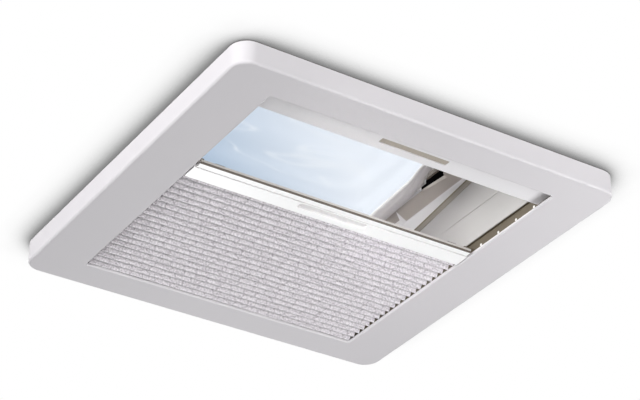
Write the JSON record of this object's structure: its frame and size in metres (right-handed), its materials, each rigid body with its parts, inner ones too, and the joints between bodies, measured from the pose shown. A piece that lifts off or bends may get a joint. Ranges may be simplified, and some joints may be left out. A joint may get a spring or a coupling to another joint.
{
  "type": "roof window",
  "caption": "Opening roof window for a caravan: clear double-pane dome on a curb, hand bail, white inner frame with a pleated blackout blind and a flyscreen.",
  "frame": {"origin": "centre of the underside of the inner frame (bezel), at the height that is flush with the room", "axes": "+Z points out through the roof; +Y is the way the blackout blind opens, away from the dome hinge; +X is along the blind bars"},
  "size_m": [0.484, 0.49, 0.192],
  "materials": {
    "white_plastic": "satin",
    "grey_plastic": "satin",
    "edge_grey_plastic": "matte",
    "olive_plastic": "matte",
    "dark_plastic": "matte",
    "tan_plastic": "matte",
    "clear_acrylic": "clear gloss",
    "black_rubber": "matte",
    "dark_foam": "matte",
    "steel": "satin",
    "spring_steel": "satin",
    "grey_metal": "satin",
    "blackout_cloth": "crepe",
    "mesh_cloth": "mesh"
  },
  "bodies": {
    "window": {"bezel": "white_plastic", "bezel_clips": "spring_steel", "rim_seal": "dark_foam", "mounting_frame": "grey_plastic", "mounting_screws": "steel", "roof_frame": "white_plastic", "curb_ledge_left": "white_plastic", "curb_ledge_right": "white_plastic", "roof_seal": "black_rubber", "joint_seal": "olive_plastic", "liner_edge_band": "edge_grey_plastic", "dome_seal": "black_rubber", "hinge_bracket_left": "steel", "hinge_bracket_right": "steel", "hinge_bracket_screws": "steel", "hinge_pins": "steel", "pivot_bracket_left": "steel", "pivot_bracket_right": "steel", "pivot_bracket_screws": "steel", "bail_rest_left": "grey_plastic", "bail_rest_right": "grey_plastic", "blind_rail_left": "olive_plastic", "blind_rail_right": "olive_plastic", "rail_pegs": "white_plastic", "rail_screws": "steel", "blackout_cassette": "olive_plastic", "flyscreen_cassette": "olive_plastic", "blackout_pleats": "blackout_cloth", "blackout_pack": "blackout_cloth", "flyscreen_pleats": "mesh_cloth"},
    "dome": {"outer_dome": "clear_acrylic", "inner_dome": "clear_acrylic", "dome_spacer": "grey_plastic", "hinge_leaf_left": "steel", "hinge_leaf_right": "steel", "hinge_leaf_screws": "steel", "guide_rail_left": "grey_plastic", "guide_rail_right": "grey_plastic"},
    "bail": {"bail_bar": "grey_metal", "bail_pivot_pins": "steel", "slide_shoes": "olive_plastic", "bail_grip": "grey_plastic", "latch_spring": "spring_steel"},
    "button": {"latch_button": "dark_plastic"},
    "blackout": {"blackout_bar": "white_plastic", "blackout_edge_strip": "grey_plastic", "blackout_edge_seal": "dark_plastic", "blackout_shoes": "olive_plastic", "blackout_magnets": "dark_plastic"},
    "flyscreen": {"flyscreen_bar": "white_plastic", "flyscreen_grip_tray": "tan_plastic", "flyscreen_shoes": "olive_plastic", "flyscreen_magnets": "dark_plastic"}
  },
  "joints": [
    {"name": "dome_hinge", "type": "hinge", "parent": "window", "child": "dome", "pos_m": [0, -0.21996, 0.13], "axis": [1, 0, 0], "range_deg": [0, 50]},
    {"name": "bail_hinge", "type": "hinge", "parent": "window", "child": "bail", "pos_m": [0, -0.03, 0.1375], "axis": [1, 0, 0], "range_deg": [0, 100]},
    {"name": "latch_button_press", "type": "slide", "parent": "bail", "child": "button", "axis": [0, 0, 1], "range_m": [0, 0.0022], "stiffness_N_per_m": 800, "springref_m": -0.001, "deforming": ["latch_spring"]},
    {"name": "blackout_slide", "type": "slide", "parent": "window", "child": "blackout", "axis": [0, 1, 0], "range_m": [-0.1427, 0.22], "deforming": ["blackout_pleats"]},
    {"name": "flyscreen_slide", "type": "slide", "parent": "window", "child": "flyscreen", "axis": [0, 1, 0], "range_m": [0, 0.361], "deforming": ["flyscreen_pleats"]}
  ],
  "couplings": [
    {"joint": "bail_hinge", "follows": "dome_hinge", "ratio": 2}
  ]
}
